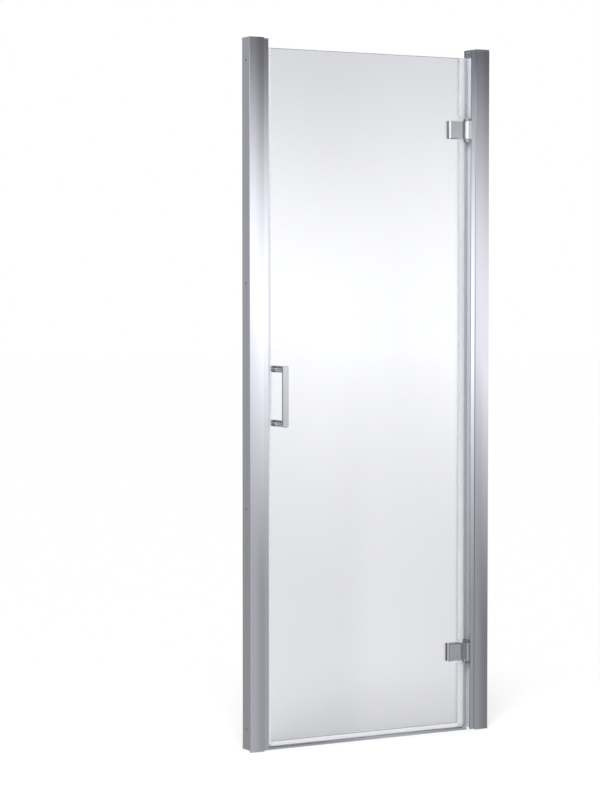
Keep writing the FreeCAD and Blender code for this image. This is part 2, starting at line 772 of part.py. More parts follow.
def make_hinge_seals():
    """Clear seal on the hinge edge of the glass, cut in three round the hinges."""
    lower = hinge_levels["lower"]
    upper = hinge_levels["upper"]
    stop = bracket_half_height + seal_hinge_gap
    spans = {
        "lower": (glass_bottom, lower - stop),
        "middle": (lower + stop, upper - stop),
        "upper": (upper + stop, glass_top),
    }
    x_body = glass_right + hinge_seal_web
    fin_end = face_x - hinge_fin_gap
    for name, (low, high) in spans.items():
        seal = edge_clip(glass_right + seal_clearance, glass_right - hinge_seal_grip, x_body, low, high)
        fin = block(glass_right + seal_clearance, fin_end, -hinge_fin_thickness, 0, low, high)
        keep("hinge_edge_seal_" + name, seal.fuse(fin))


def make_drip_seal():
    """Seal on the bottom edge of the glass, with a bulb and a slanted fin over the threshold."""
    left = glass_left + door_seal_grip + fit_clearance
    right = glass_right - hinge_seal_grip - fit_clearance
    web_top = glass_bottom - seal_clearance
    web_bottom = web_top - drip_seal_web
    leg_top = glass_bottom + drip_seal_grip
    seal = block(left, right, -seal_outer, seal_outer, web_bottom, web_top)
    for side in (-1, 1):
        inner = side * (glass_half + seal_clearance)
        seal = seal.fuse(block(left, right, inner, side * seal_outer, web_bottom, leg_top))
    bulb = block(left, right, -drip_bulb_half_width, drip_bulb_half_width, drip_bottom, web_bottom)
    fin = bar_x(
        [
            (seal_outer - seal_wall, web_bottom),
            (seal_outer, web_bottom + drip_fin_thickness),
            (seal_outer + drip_fin_reach, drip_bottom + drip_fin_thickness),
            (seal_outer + drip_fin_reach, drip_bottom),
        ],
        left,
        right,
    )
    keep("drip_seal", seal.fuse(bulb).fuse(fin))


def main():
    os.makedirs("parts", exist_ok=True)
    for side, name in ((-1, "left"), (1, "right")):
        make_wall_post(side, name)
        make_post_cap(side, name)
        make_post_foot(side, name)
        make_width_clamps(side, name)
    make_strike_profile()
    make_hinge_profile()
    make_profile_ends()
    make_threshold()
    make_strike_seal()
    make_infills()
    make_glass()
    for name, level in hinge_levels.items():
        make_leaf(name, level)
        make_back_plate(name, level)
        make_bushes(name, level)
        make_bracket(name, level)
    make_grip()
    make_standoffs()
    make_handle_fixings()
    make_door_seal()
    make_hinge_seals()
    make_drip_seal()
    for name in sorted(written):
        print(name, round(written[name] / 1000, 2), "cm3")
    print(len(written), "nodes")


main()
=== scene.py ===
import json
import math

import bmesh
import bpy
from bpy.props import FloatProperty, FloatVectorProperty, PointerProperty
from mathutils import Matrix, Vector


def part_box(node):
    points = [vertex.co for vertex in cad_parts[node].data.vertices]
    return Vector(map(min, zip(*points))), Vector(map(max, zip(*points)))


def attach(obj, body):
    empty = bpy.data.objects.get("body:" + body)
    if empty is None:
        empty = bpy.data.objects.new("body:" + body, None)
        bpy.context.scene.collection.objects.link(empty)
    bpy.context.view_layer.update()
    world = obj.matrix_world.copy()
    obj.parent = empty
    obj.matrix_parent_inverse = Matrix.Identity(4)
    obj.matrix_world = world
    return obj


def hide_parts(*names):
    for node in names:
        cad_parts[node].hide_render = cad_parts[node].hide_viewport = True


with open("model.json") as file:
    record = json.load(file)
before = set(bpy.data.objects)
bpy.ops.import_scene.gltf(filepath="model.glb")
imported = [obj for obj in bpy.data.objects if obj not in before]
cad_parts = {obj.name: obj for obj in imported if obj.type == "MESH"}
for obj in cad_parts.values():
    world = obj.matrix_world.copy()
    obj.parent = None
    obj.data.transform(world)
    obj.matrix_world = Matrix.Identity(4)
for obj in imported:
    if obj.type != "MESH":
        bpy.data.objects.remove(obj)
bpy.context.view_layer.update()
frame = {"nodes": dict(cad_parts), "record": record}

bl_info = {
    "name": "Hinged shower door",
    "version": (1, 0, 0),
    "blender": (4, 5, 0),
    "location": "3D View > Sidebar > Shower door",
    "description": "Finishes, fastenings and studio for a hinged glass shower door",
    "category": "Object",
}

# Stretch of a drawn grain along upright, long, deep and turned pieces
UPRIGHT = (1.0, 1.0, 0.004)
LENGTHWISE = (0.004, 1.0, 1.0)
CROSSWISE = (1.0, 0.004, 1.0)
TURNED = (1.0, 1.0, 0.08)

# Fineness of each grain, as the scale of its noise
ALUMINIUM_GRAIN = 1400.0
SATIN_GRAIN = 1100.0
STEEL_GRAIN = 900.0
SEAL_GRAIN = 900.0
PLATING_RIPPLE = 260.0
INFILL_SKIN = 700.0

# Size of the water marks on extrusions, plated pieces and the pane, in metres
EXTRUSION_MARKS = 0.16
PLATED_MARKS = 0.022
PANE_MARKS = 0.09

# Middle part of a noise pattern's range, and the part of it that shows as water marks
NOISE_RANGE = (0.3, 0.7)
MARK_RANGE = (0.48, 0.72)

# Scale of the wide lines as a share of the fine ones, and of the cloudy tone of a moulded skin
WIDE_LINES_SHARE = 0.04
CLOUD_SCALE = 22.0

# Depth of a relief in metres, and its strength on each finish
METAL_RELIEF = 0.0001
MOULDED_RELIEF = 0.0002
ALUMINIUM_STRENGTH = 0.05
PLATED_STRENGTH = 0.03
STANDOFF_STRENGTH = 0.04
SEAL_STRENGTH = 0.02
INFILL_STRENGTH = 0.04

# Tones, and shares of the mean roughness, that a pattern runs between
DRAWN_TONES = (0.96, 1.03)
DRAWN_POLISH = (0.8, 1.15)
DRAWN_DULLING = 0.2
PLATED_TONES = (1.0, 0.95)
PLATED_POLISH = (0.8, 1.8)
MOULDED_TONES = (0.94, 1.05)
MOULDED_POLISH = (0.85, 1.15)
SEAL_TONES = (0.98, 1.02)
SEAL_ROUGHNESS = (0.07, 0.11)
INFILL_TONES = (0.97, 1.03)

# Hinge leaves: heights between the two hinges, blur of the groove's edges, the barrel's rear face, and
# tones of painted light and shade: the upper plate darker, the upper barrel lighter, the lower barrel
# darker, and the groove's painted shade lighter on the lower hinge
BETWEEN_HINGES = (0.9, 1.0)
GROOVE_BLUR = (-0.0004, 0.0001)
BARREL_BACK = -0.0100
UPPER_PLATE_PAINTED_SHADE_TONES = (0.89, 0.85)
UPPER_BARREL_PAINTED_LIGHT_TONES = (1.1, 1.05)
LOWER_BARREL_PAINTED_SHADE_TONE = 0.84
LOWER_GROOVE_LIGHTER_PAINTED_SHADE = 2.1

# Standoffs: heights, as shares of the radius, where the painted shade along the top and the lighter
# painted shade along the bottom start and end, and the tones of that painted shade
STANDOFF_TOP = (0.25, 0.5)
STANDOFF_BOTTOM = (-0.75, -0.15)
STANDOFF_BOTTOM_PAINTED_SHADE = 0.68
STANDOFF_PAINTED_SHADE_TONE = 0.16

# Pane: distance from its edge where the green rim ends, roughness of marks and coating, refractive index
PANE_RIM = (0.0003, 0.0009)
PANE_MARK_ROUGHNESS = 0.03
COATING_ROUGHNESS = 0.01
PANE_INDEX = 1.52

# Clear seals: clearness of each kind, refractive index, blur of the fin's edge, and the rear leg, paled
# by a painted glow in its emission
SEAL_CLEARNESS = 0.7
DRIP_SEAL_CLEARNESS = 0.35
CLOSING_SEAL_CLEARNESS = 0.42
SEAL_INDEX = 1.46
FIN_BLUR = 0.0005
REAR_LEG_DEPTH = (0.0030, 0.0038)
REAR_LEG_LEAD = (-0.0010, -0.0004)
REAR_LEG_PAINTED_GLOW = 0.08

# Infill strips: heights between which painted shade darkens them towards the floor, the darkest tone of
# that painted shade, and the lighter piece at the foot
INFILL_PAINTED_SHADE_HEIGHTS = (0.35, 1.25)
INFILL_PAINTED_SHADE_TONE = 0.56
INFILL_FOOT_BLUR = 0.01
INFILL_FOOT_LIFT = 0.5

# Screws: sides of head and socket, steps of the rounded rim, shares for the socket's floor and the tip,
# sharpest angle that is shaded smooth, and the turn that lays a screw on its side
HEAD_SIDES = 48
SOCKET_SIDES = 6
RIM_STEPS = 3
SOCKET_FLOOR_WIDTH = 0.35
SOCKET_FLOOR_DEPTH = 0.25
TIP_WIDTH = 0.75
TIP_LENGTH = 0.25
SHARP_ANGLE = math.radians(28.0)
LAID_BACK = math.radians(-90.0)

# Studio: sides of the floor and the tent, and the camera's sensor and reach
FLOOR_SIDES = 96
TENT_SIDES = 128
SENSOR_WIDTH = 36.0
CAMERA_REACH = 100.0

# Slant of the tent's bright band: bearings between which it runs, slope of each edge, and its step on the
# hinge side. Bearings are in radians from straight in front of the door towards the hinge side
SLANTED = (-0.26, 0.96)
HINGE_SIDE = (0.40, 0.75)
LOW_EDGE_SLANT = -0.41
LOW_EDGE_STEP = 0.105
HIGH_EDGE_SLANT = -0.33
HIGH_EDGE_STEP = 0.133

# Changes round the tent: bearings where each starts and ends, and the values before and after it
STRIKE_RAISE = (-0.5, 0.1, 0.42, 0.0)
HINGE_RAISE = (0.95, 1.2, 0.0, 0.5)
BASE_DIMMING = (-0.8, -0.1, 0.5, 1.0)
BASE_LIFT = (0.47, 0.58, 1.0, 1.54)
BASE_DROP = (0.66, 0.92, 0.0, 0.45)
PEAK_LIFT = (0.6, 0.75, 1.0, 1.1)
CLIMB_POWER = (0.45, 0.54, 1.7, 2.25)
CLIMB_EASE = (0.62, 0.9, 0.0, 0.55)
FADE_LENGTH = (-0.5, 0.1, 0.27, 0.9)
FADE_EXTRA = (0.45, 0.6, 0.0, 0.06)

# The band's height of climb, and the shares that base and peak fall to on the hinge side and ahead
CLIMB_HEIGHT = 0.85
BASE_FALL = (0.0, 0.73)
BASE_FALL_SHARE = 0.54
PEAK_SIDE_SHARE = 0.88
FACING_SHARE = 0.8

# Sectors of the tent in degrees: middle, half width and soft edge
FACING_SECTOR = (-17.0, 12.0, 10.0)
FLAG_SECTOR = (-135.0, 9.0, 9.0)
REAR_GAP_SECTOR = (-127.0, 21.0, 8.0)

# Bearings where the front of the tent gives way to the panels behind the door
LEFT_BACK = (math.radians(-118.0), math.radians(-104.0))
RIGHT_BACK = (math.radians(64.0), math.radians(78.0))

# Panels behind the door: turn from straight behind where their band widens and ends, and its heights
REAR_TURN = (math.radians(55.0), math.radians(80.0))
REAR_SIDES = (math.radians(93.0), math.radians(99.0))
REAR_CLIMB = (0.2, 1.0)
REAR_TOP = (1.1, 1.77)
REAR_END = (1.55, 1.84)

# Shading of the grey flag: heights where it starts and ends, and the shares before and after it
FLAG_SHADING = (0.3, 1.3, 0.925, 1.11)


def colour(name, description, default):
    """Setting for a colour."""
    return FloatVectorProperty(
        name=name, description=description, default=default, subtype="COLOR", size=3, min=0.0, max=1.0
    )


def length(name, description, default):
    """Setting for a length in metres."""
    return FloatProperty(name=name, description=description, default=default, unit="LENGTH", precision=5)


def point(name, description, default):
    """Setting for a place in metres."""
    return FloatVectorProperty(
        name=name, description=description, default=default, subtype="TRANSLATION", unit="LENGTH"
    )


def angle(name, description, default):
    """Setting for an angle in radians."""
    return FloatProperty(name=name, description=description, default=default, unit="ROTATION")


def share(name, description, default, high=1.0):
    """Setting between nought and a highest value."""
    return FloatProperty(name=name, description=description, default=default, min=0.0, max=high)


class ShowerDoorFinishes(bpy.types.PropertyGroup):
    """Colours and polish of the door's materials"""

    aluminium: colour("Aluminium", "Polished posts, profiles and threshold", (0.865, 0.875, 0.955))
    # painted shade: the hinge-side post takes a darker copy of the aluminium, as if less light fell on it
    post: colour("Hinge-side post", "Wall post on the hinge side, a shade darker", (0.68, 0.687, 0.75))
    casting: colour("Casting", "Satin cast caps of the sliding profiles", (0.58, 0.58, 0.61))
    chrome: colour("Chrome", "Plated hinges, handle and screw covers", (0.89, 0.90, 0.95))
    satin: colour("Satin chrome", "Handle grip and standoffs", (0.66, 0.665, 0.71))
    # painted shade: the groove between plate and barrel is coloured dark where shade falls
    groove: colour("Hinge groove", "Dark groove between a hinge plate and its barrel", (0.42, 0.42, 0.44))
    # painted shade: the brackets take a dark copy of chrome that stands in for the shade in the profile's
    # channel
    cast: colour("Cast chrome", "Hinge brackets in the profile", (0.42, 0.43, 0.46))
    glass: colour("Glass", "Faint tint of the pane seen straight through", (0.915, 0.923, 0.962))
    glass_edge: colour("Glass edge", "Green of the pane's polished rim", (0.66, 0.82, 0.78))
    seal: colour("Seal", "Clear soft extrusions on the glass and the strike profile", (0.95, 0.965, 0.98))
    fin: colour("Seal fin", "Smoky fin of the seal on the hinge edge", (0.66, 0.69, 0.74))
    infill: colour("Infill", "Silver-grey strips clipped in the hinge profile", (0.70, 0.72, 0.77))
    white: colour("White plastic", "Moulded feet and threshold ends", (0.90, 0.90, 0.89))
    steel: colour("Stainless steel", "Bolts, screws, pins and studs", (0.62, 0.62, 0.61))
    nylon: colour("Nylon", "Bushes, sleeves and washers", (0.80, 0.80, 0.77))
    rubber: colour("Rubber", "Gaskets between the hinge plates and the glass", (0.045, 0.045, 0.05))
    magnet: colour("Magnet", "Magnetic strips inside the two closing seals", (0.55, 0.56, 0.58))
    aluminium_polish: share("Aluminium roughness", "Mean roughness of the polished extrusions", 0.10)
    chrome_polish: share("Chrome roughness", "Mean roughness of the plated pieces", 0.06)
    satin_polish: share("Satin roughness", "Mean roughness of the handle and the hinge brackets", 0.2)
    steel_polish: share("Steel roughness", "Mean roughness of the bolts, screws, pins and studs", 0.26)
    infill_polish: share("Infill roughness", "Mean roughness of the infill strips", 0.22)
    glass_shine: share("Glass coating", "Weight of the easy-clean coating that mirrors the room", 1.0)
    coating_index: share("Coating index", "Refractive index of the easy-clean coating", 3.2, 4.0)


class ShowerDoorFastenings(bpy.types.PropertyGroup):
    """Sizes of the countersunk bolts and screws"""

    bolt_shank: length("Bolt shank", "Radius of a clamp bolt under its head", 0.0030)
    bolt_head_depth: length("Bolt head depth", "Depth of a clamp bolt's countersunk head", 0.0030)
    screw_shank: length("Screw shank", "Radius of a bracket screw under its head", 0.0025)
    screw_head_depth: length("Screw head depth", "Depth of a bracket screw's countersunk head", 0.0025)
    socket_share: share("Socket share", "Hex socket's radius as a share of the head's radius", 0.46)
    socket_depth: length("Socket depth", "Depth of the hex socket", 0.0018)
    rim: length("Rim bevel", "Width of the rounded rim of a head", 0.0003)


class ShowerDoorStudio(bpy.types.PropertyGroup):
    """Camera, floor and light"""

    camera_place: point("Camera place", "Where the camera stands", (-3.598, -5.8595, 1.2337))
    camera_turn: angle("Camera turn", "Turn of the camera from straight ahead to the hinge side", 0.5235)
    camera_tilt: angle("Camera tilt", "Downward tilt of the camera", 0.0438)
    lens: FloatProperty(
        name="Lens", description="Focal length on a 36 mm sensor", default=113.34, unit="CAMERA", min=1.0
    )
    floor_colour: colour("Floor", "Colour of the pale floor", (0.98, 0.98, 0.98))
    floor_radius: length("Floor radius", "Radius of the pale floor", 40.0)
    fade_start: length("Fade start", "Distance where the floor starts to fade into the background", 0.45)
    fade_end: length("Fade end", "Distance where the floor has faded into the background", 1.6)
    fade_share: share("Fade share", "How far the floor fades into the background", 0.98)
    ambient: share("Ambient light", "Strength of the even light from all round", 0.84)
    lamp_power: FloatProperty(
        name="Lamp power", description="Power of the soft lamp", default=190.0, unit="POWER"
    )
    lamp_size: length("Lamp size", "Diameter of the soft lamp", 3.0)
    lamp_place: point("Lamp place", "Where the soft lamp hangs", (-2.4, -3.2, 4.6))
    lamp_aim: point("Lamp aim", "Point that the soft lamp faces", (0.0, 0.0, 0.8))
    tent_radius: length("Light tent radius", "Radius of the tent that the bright metal mirrors", 1.3)
    tent_top: length("Light tent top", "Height of the tent's dim roof", 3.4)
    tent_bottom: length("Light tent bottom", "Depth of the tent's grey base below the floor", -1.6)
    band_low: length("Band low edge", "Height where the tent's band starts to fade downwards", 1.225)
    band_high: length("Band high edge", "Height where the tent's band starts to fade upwards", 1.305)
    band_level: share("Band level", "Brightness of the tent's bright band", 1.22, 2.0)
    roof_level: share("Roof level", "Brightness above the band", 0.12)
    base_level: share("Base level", "Brightness below the band", 0.475)
    flag_level: share("Flag level", "Brightness of the plain grey panel behind the strike side", 0.33)
    shade_level: share("Shade level", "Brightness of the dark panels behind the door", 0.15)
    rear_peak: share("Rear band level", "Brightness of the soft band on the panels behind the door", 0.9)


def plug(tree, socket, value):
    """Links a socket, or sets the value of an open one."""
    if isinstance(value, bpy.types.NodeSocket):
        tree.links.new(value, socket)
    else:
        socket.default_value = value


def add(tree, kind, inputs=None, **settings):
    """New node with its settings and inputs."""
    made = tree.nodes.new(kind)
    for key, value in settings.items():
        setattr(made, key, value)
    for key, value in (inputs or {}).items():
        plug(tree, made.inputs[key], value)
    return made


def calc(tree, operation, first, second=0.0, third=0.0):
    """Result of one sum on numbers or sockets."""
    return add(tree, "ShaderNodeMath", {0: first, 1: second, 2: third}, operation=operation).outputs[0]


def spread(tree, value, from_low, from_high, to_low, to_high, ease="SMOOTHSTEP"):
    """Maps a value from one range to another and keeps it inside."""
    inputs = {
        "Value": value,
        "From Min": from_low,
        "From Max": from_high,
        "To Min": to_low,
        "To Max": to_high,
    }
    return add(tree, "ShaderNodeMapRange", inputs, interpolation_type=ease, clamp=True).outputs["Result"]


def between(tree, factor, first, second):
    """Number between two numbers."""
    return add(tree, "ShaderNodeMix", {0: factor, 2: first, 3: second}).outputs[0]


def mingle(tree, factor, first, second):
    """Colour between two colours."""
    made = tree.nodes.new("ShaderNodeMix")
    made.data_type = "RGBA"
    for socket, value in zip((made.inputs[0], made.inputs[6], made.inputs[7]), (factor, first, second)):
        plug(tree, socket, value)
    return made.outputs[2]


def tone(base, factor):
    """Opaque colour, lighter or darker than the base."""
    return tuple(min(1.0, channel * factor) for channel in base) + (1.0,)


def effect(name, inputs, outputs):
    """Empty node group with named sockets; returns it with its input and output nodes."""
    group = bpy.data.node_groups.new(name, "ShaderNodeTree")
    for label, kind in inputs:
        group.interface.new_socket(name=label, in_out="INPUT", socket_type=kind)
    for label in outputs:
        group.interface.new_socket(name=label, in_out="OUTPUT", socket_type="NodeSocketFloat")
    return group, group.nodes.new("NodeGroupInput"), group.nodes.new("NodeGroupOutput")


def make_effects():
    """Shared surface effects: drawn lines, water marks and moulded skin."""
    vector, number = "NodeSocketVector", "NodeSocketFloat"
    group, given, result = effect(
        "Drawn lines", (("Place", vector), ("Stretch", vector), ("Fineness", number)), ("Height", "Haze")
    )
    drawn = add(group, "ShaderNodeVectorMath", {0: given.outputs["Place"], 1: given.outputs["Stretch"]},
                operation="MULTIPLY").outputs[0]
    coarse = calc(group, "MULTIPLY", given.outputs["Fineness"], WIDE_LINES_SHARE)
    fine_lines = add(group, "ShaderNodeTexNoise",
                     {"Vector": drawn, "Scale": given.outputs["Fineness"], "Detail": 2.0})
    wide_lines = add(group, "ShaderNodeTexNoise", {"Vector": drawn, "Scale": coarse, "Detail": 1.0})
    group.links.new(fine_lines.outputs[0], result.inputs["Height"])
    group.links.new(wide_lines.outputs[0], result.inputs["Haze"])

    group, given, result = effect("Water marks", (("Place", vector), ("Size", number)), ("Mask",))
    scale = calc(group, "DIVIDE", 1.0, given.outputs["Size"])
    marks = add(group, "ShaderNodeTexNoise",
                {"Vector": given.outputs["Place"], "Scale": scale, "Detail": 4.0, "Roughness": 0.6})
    group.links.new(spread(group, marks.outputs[0], *MARK_RANGE, 0.0, 1.0), result.inputs["Mask"])

    group, given, result = effect(
        "Moulded skin", (("Place", vector), ("Fineness", number)), ("Height", "Tone")
    )
    skin = add(group, "ShaderNodeTexNoise",
               {"Vector": given.outputs["Place"], "Scale": given.outputs["Fineness"], "Detail": 3.0})
    cloud = add(group, "ShaderNodeTexNoise",
                {"Vector": given.outputs["Place"], "Scale": CLOUD_SCALE, "Detail": 2.0})
    group.links.new(skin.outputs[0], result.inputs["Height"])
    group.links.new(cloud.outputs[0], result.inputs["Tone"])


def use(tree, name, **inputs):
    """Places a shared effect in a material."""
    made = tree.nodes.new("ShaderNodeGroup")
    made.node_tree = bpy.data.node_groups[name]
    for key, value in inputs.items():
        plug(tree, made.inputs[key], value)
    return made


def start_material(name):
    """New material; returns it with its tree, its shader and its Object coordinates."""
    made = bpy.data.materials.new(name + "_finish")
    made.use_nodes = True
    tree = made.node_tree
    shader = tree.nodes["Principled BSDF"]
    place = tree.nodes.new("ShaderNodeTexCoord").outputs["Object"]
    return made, tree, shader, place


def bump(tree, shader, height, strength, distance):
    """Gives a shader a fine relief."""
    relief = add(tree, "ShaderNodeBump", {"Height": height, "Strength": strength, "Distance": distance})
    tree.links.new(relief.outputs["Normal"], shader.inputs["Normal"])


def toned(tree, pattern, base, tones):
    """Colour that follows a pattern between two tones of its base."""
    return mingle(tree, pattern, tone(base, tones[0]), tone(base, tones[1]))


def varied_polish(tree, pattern, roughness, shares):
    """Roughness that follows a noise pattern between two shares of its mean."""
    return spread(tree, pattern, *NOISE_RANGE, roughness * shares[0], roughness * shares[1])


def marked_polish(tree, mask, roughness):
    """Roughness of plating, duller where water has dried on it."""
    return spread(tree, mask, 0.0, 1.0, roughness * PLATED_POLISH[0], roughness * PLATED_POLISH[1])


def drawn_metal(name, base, roughness, stretch, fineness, strength):
    """Bright metal with the faint lines that drawing or brushing leaves along it."""
    made, tree, shader, place = start_material(name)
    lines = use(tree, "Drawn lines", Place=place, Stretch=stretch, Fineness=fineness)
    marks = use(tree, "Water marks", Place=place, Size=EXTRUSION_MARKS)
    shader.inputs["Metallic"].default_value = 1.0
    plug(tree, shader.inputs["Base Color"], toned(tree, lines.outputs["Haze"], base, DRAWN_TONES))
    clean = varied_polish(tree, lines.outputs["Haze"], roughness, DRAWN_POLISH)
    marked = calc(tree, "MULTIPLY_ADD", marks.outputs["Mask"], roughness * DRAWN_DULLING, clean)
    plug(tree, shader.inputs["Roughness"], marked)
    bump(tree, shader, lines.outputs["Height"], strength, METAL_RELIEF)
    return made


def plated_metal(name, base, roughness):
    """Mirror-bright plating with a slight ripple and water marks."""
    made, tree, shader, place = start_material(name)
    mask = use(tree, "Water marks", Place=place, Size=PLATED_MARKS).outputs["Mask"]
    skin = use(tree, "Moulded skin", Place=place, Fineness=PLATING_RIPPLE)
    shader.inputs["Metallic"].default_value = 1.0
    plug(tree, shader.inputs["Base Color"], toned(tree, mask, base, PLATED_TONES))
    plug(tree, shader.inputs["Roughness"], marked_polish(tree, mask, roughness))
    bump(tree, shader, skin.outputs["Height"], PLATED_STRENGTH, METAL_RELIEF)
    return made


def hinge_metal(name, base, groove, roughness, barrel_roughness, groove_start):
    """Plated hinge leaf: a bright plate, a groove past its edge darkened by painted shade, and a satin
    barrel before that. The two hinges take lighter and darker copies of these tones as painted light and
    shade.
    """
    made, tree, shader, place = start_material(name)
    mask = use(tree, "Water marks", Place=place, Size=PLATED_MARKS).outputs["Mask"]
    skin = use(tree, "Moulded skin", Place=place, Fineness=PLATING_RIPPLE)
    across, depth, height = add(tree, "ShaderNodeSeparateXYZ", {0: place}).outputs[0:3]
    before, after = GROOVE_BLUR
    past = spread(tree, across, groove_start + before, groove_start + after, 0.0, 1.0)
    behind = spread(tree, depth, BARREL_BACK + before, BARREL_BACK + after, 0.0, 1.0)
    lower = spread(tree, height, *BETWEEN_HINGES, 1.0, 0.0)
    # painted light and shade: the upper hinge's plate is darker and its barrel lighter than on the lower
    # hinge
    plate = mingle(tree, lower, toned(tree, mask, base, UPPER_PLATE_PAINTED_SHADE_TONES),
                   toned(tree, mask, base, PLATED_TONES))
    barrel = mingle(tree, lower, toned(tree, mask, base, UPPER_BARREL_PAINTED_LIGHT_TONES),
                    tone(base, LOWER_BARREL_PAINTED_SHADE_TONE))
    # painted shade in the groove, lighter on the lower hinge
    groove_painted_shade = mingle(tree, lower, tone(groove, 1.0), tone(groove, LOWER_GROOVE_LIGHTER_PAINTED_SHADE))
    leaf = mingle(tree, past, plate, barrel)
    shader.inputs["Metallic"].default_value = 1.0
    sunk = calc(tree, "MULTIPLY", past, behind)
    plug(tree, shader.inputs["Base Color"], mingle(tree, sunk, leaf, groove_painted_shade))
    polish = marked_polish(tree, mask, roughness)
    plug(tree, shader.inputs["Roughness"], between(tree, past, polish, barrel_roughness))
    bump(tree, shader, skin.outputs["Height"], PLATED_STRENGTH, METAL_RELIEF)
    return made


def standoff_metal(name, base, roughness, levels, radius):
    """Satin round bar that lies level, with painted shade dark along its top and lighter painted shade
    along its bottom.
    """
    made, tree, shader, place = start_material(name)
    lines = use(tree, "Drawn lines", Place=place, Stretch=CROSSWISE, Fineness=SATIN_GRAIN)
    height = add(tree, "ShaderNodeSeparateXYZ", {0: place}).outputs[2]
    middle = (levels[0] + levels[1]) / 2
    nearest = spread(tree, height, middle - radius, middle + radius, levels[0], levels[1])
    rise = calc(tree, "DIVIDE", calc(tree, "SUBTRACT", height, nearest), radius)
    # painted shade along the top and the bottom of the bar
    dark = calc(tree, "ADD", spread(tree, rise, *STANDOFF_TOP, 0.0, 1.0),
                spread(tree, rise, *STANDOFF_BOTTOM, STANDOFF_BOTTOM_PAINTED_SHADE, 0.0))
    shader.inputs["Metallic"].default_value = 1.0
    bright = toned(tree, lines.outputs["Haze"], base, DRAWN_TONES)
    plug(tree, shader.inputs["Base Color"], mingle(tree, dark, bright, tone(base, STANDOFF_PAINTED_SHADE_TONE)))
    plug(tree, shader.inputs["Roughness"],
         varied_polish(tree, lines.outputs["Haze"], roughness, DRAWN_POLISH))
    bump(tree, shader, lines.outputs["Height"], STANDOFF_STRENGTH, METAL_RELIEF)
    return made


def pane_glass(name, base, rim, coating, coating_index):
    """Clear toughened glass: green at its rim, coated so that it mirrors the room softly."""
    made, tree, shader, place = start_material(name)
    low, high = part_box("glass_panel")
    spot = add(tree, "ShaderNodeSeparateXYZ", {0: place}).outputs
    gaps = [
        calc(tree, "SUBTRACT", spot[0], low.x),
        calc(tree, "SUBTRACT", high.x, spot[0]),
        calc(tree, "SUBTRACT", spot[2], low.z),
        calc(tree, "SUBTRACT", high.z, spot[2]),
    ]
    nearest = gaps[0]
    for gap in gaps[1:]:
        nearest = calc(tree, "MINIMUM", nearest, gap)
    edge = spread(tree, nearest, *PANE_RIM, 1.0, 0.0)
    marks = use(tree, "Water marks", Place=place, Size=PANE_MARKS)
    plug(tree, shader.inputs["Base Color"], mingle(tree, edge, tone(base, 1.0), tone(rim, 1.0)))
    plug(tree, shader.inputs["Roughness"],
         spread(tree, marks.outputs["Mask"], 0.0, 1.0, 0.0, PANE_MARK_ROUGHNESS))
    shader.inputs["Transmission Weight"].default_value = 1.0
    shader.inputs["IOR"].default_value = PANE_INDEX
    shader.inputs["Coat Weight"].default_value = coating
    shader.inputs["Coat IOR"].default_value = coating_index
    shader.inputs["Coat Roughness"].default_value = COATING_ROUGHNESS
    return made


def soft_clear(name, base, fin, leg_start, fin_start, clearness, stretch):
    """Clear flexible extrusion, slightly milky: on the hinge side a rear leg paled by a painted glow, and
    a smoky fin.
    """
    made, tree, shader, place = start_material(name)
    lines = use(tree, "Drawn lines", Place=place, Stretch=stretch, Fineness=SEAL_GRAIN)
    across, depth = add(tree, "ShaderNodeSeparateXYZ", {0: place}).outputs[0:2]
    beyond = spread(tree, across, fin_start - FIN_BLUR, fin_start + FIN_BLUR, 0.0, 1.0)
    clear = toned(tree, lines.outputs["Haze"], base, SEAL_TONES)
    plug(tree, shader.inputs["Base Color"], mingle(tree, beyond, clear, tone(fin, 1.0)))
    rear = spread(tree, depth, *REAR_LEG_DEPTH, 0.0, 1.0)
    leg = spread(tree, across, leg_start + REAR_LEG_LEAD[0], leg_start + REAR_LEG_LEAD[1], 0.0, 1.0)
    rear = calc(tree, "MULTIPLY", rear, leg)
    # painted glow: a faint emission lightens the rear leg's edge
    plug(tree, shader.inputs["Emission Color"],
         mingle(tree, rear, tone(base, 0.0), tone(base, REAR_LEG_PAINTED_GLOW)))
    shader.inputs["Emission Strength"].default_value = 1.0
    plug(tree, shader.inputs["Roughness"],
         spread(tree, lines.outputs["Haze"], *NOISE_RANGE, *SEAL_ROUGHNESS))
    shader.inputs["Transmission Weight"].default_value = clearness
    shader.inputs["IOR"].default_value = SEAL_INDEX
    bump(tree, shader, lines.outputs["Height"], SEAL_STRENGTH, METAL_RELIEF)
    return made


def moulded(name, base, roughness, fineness, strength, metal=0.0):
    """Moulded plastic, nylon or rubber, or a casting, with a fine skin."""
    made, tree, shader, place = start_material(name)
    shader.inputs["Metallic"].default_value = metal
    skin = use(tree, "Moulded skin", Place=place, Fineness=fineness)
    plug(tree, shader.inputs["Base Color"], toned(tree, skin.outputs["Tone"], base, MOULDED_TONES))
    plug(tree, shader.inputs["Roughness"],
         varied_polish(tree, skin.outputs["Height"], roughness, MOULDED_POLISH))
    bump(tree, shader, skin.outputs["Height"], strength, MOULDED_RELIEF)
    return made


